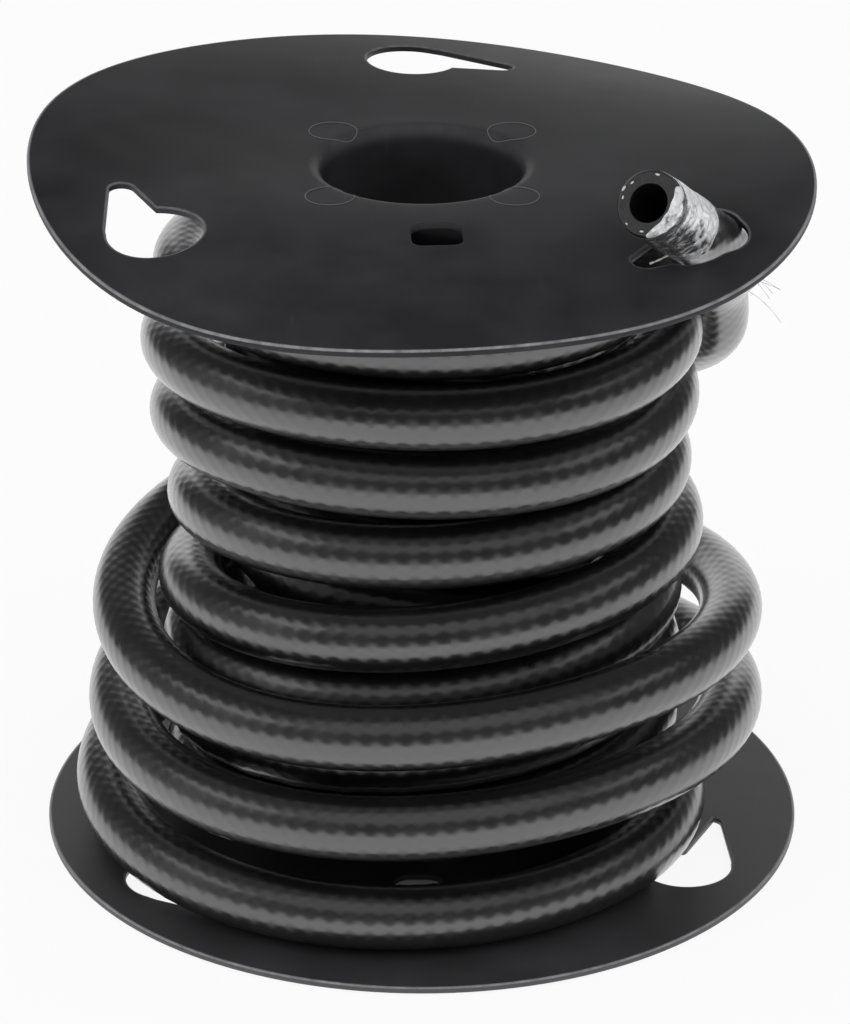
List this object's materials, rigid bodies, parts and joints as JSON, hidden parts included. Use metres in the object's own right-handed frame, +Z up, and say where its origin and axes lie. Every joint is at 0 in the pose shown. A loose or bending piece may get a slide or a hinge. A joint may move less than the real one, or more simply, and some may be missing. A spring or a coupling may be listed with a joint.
{
  "type": "hose reel",
  "caption": "Two-flange moulded plastic reel with an arbor bore, wound with thick black reinforced rubber hose whose cut end stands out through a hole in the top flange.",
  "frame": {"origin": "middle of the bottom flange's resting face, on the arbor axis", "axes": "+Z up along the arbor axis; -Y towards the drive holes (the front); +X to the right, where the hose end comes out"},
  "size_m": [0.229, 0.229, 0.236],
  "materials": {
    "top_moulding": "satin moulded, dark charcoal",
    "bottom_moulding": "satin moulded, dark charcoal",
    "drum": "satin extruded, dark",
    "hose_rubber": "smooth, with the braid beneath showing as small dimples",
    "film_tape": "shiny wrinkled film"
  },
  "bodies": {
    "root": {"bottom_flange": "bottom_moulding", "top_flange": "top_moulding", "drum_tube": "drum", "hose_inner_layer": "hose_rubber", "hose_outer_turns": "hose_rubber", "end_tape": "film_tape"}
  },
  "joints": []
}
